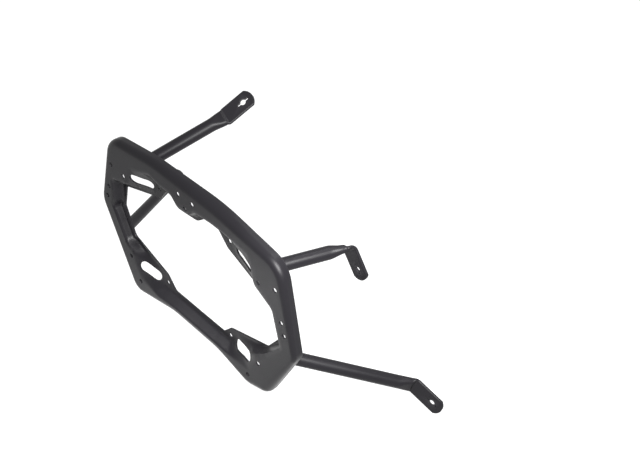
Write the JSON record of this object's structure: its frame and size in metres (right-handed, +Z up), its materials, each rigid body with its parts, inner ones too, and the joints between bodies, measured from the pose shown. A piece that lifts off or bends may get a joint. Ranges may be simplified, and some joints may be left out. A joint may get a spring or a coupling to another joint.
{
  "type": "pannier frame",
  "caption": "Left motorcycle pannier frame: a pressed sheet ring with slots and fixing holes, carried by tube stays that end in flat bolt tabs.",
  "frame": {"origin": "midway between the two holes of adapter_holes, on the ring's outer face", "axes": "+X to the rear of the motorcycle along the ring, +Y inward to the motorcycle, +Z up"},
  "size_m": [0.5988, 0.1971, 0.3389],
  "materials": {
    "black_coat": "satin black powder coat"
  },
  "bodies": {
    "root": {"ring_plate": "black_coat", "front_stay": "black_coat", "upper_front_stay": "black_coat", "upper_rear_stay": "black_coat", "lower_rear_stay": "black_coat"}
  },
  "joints": []
}
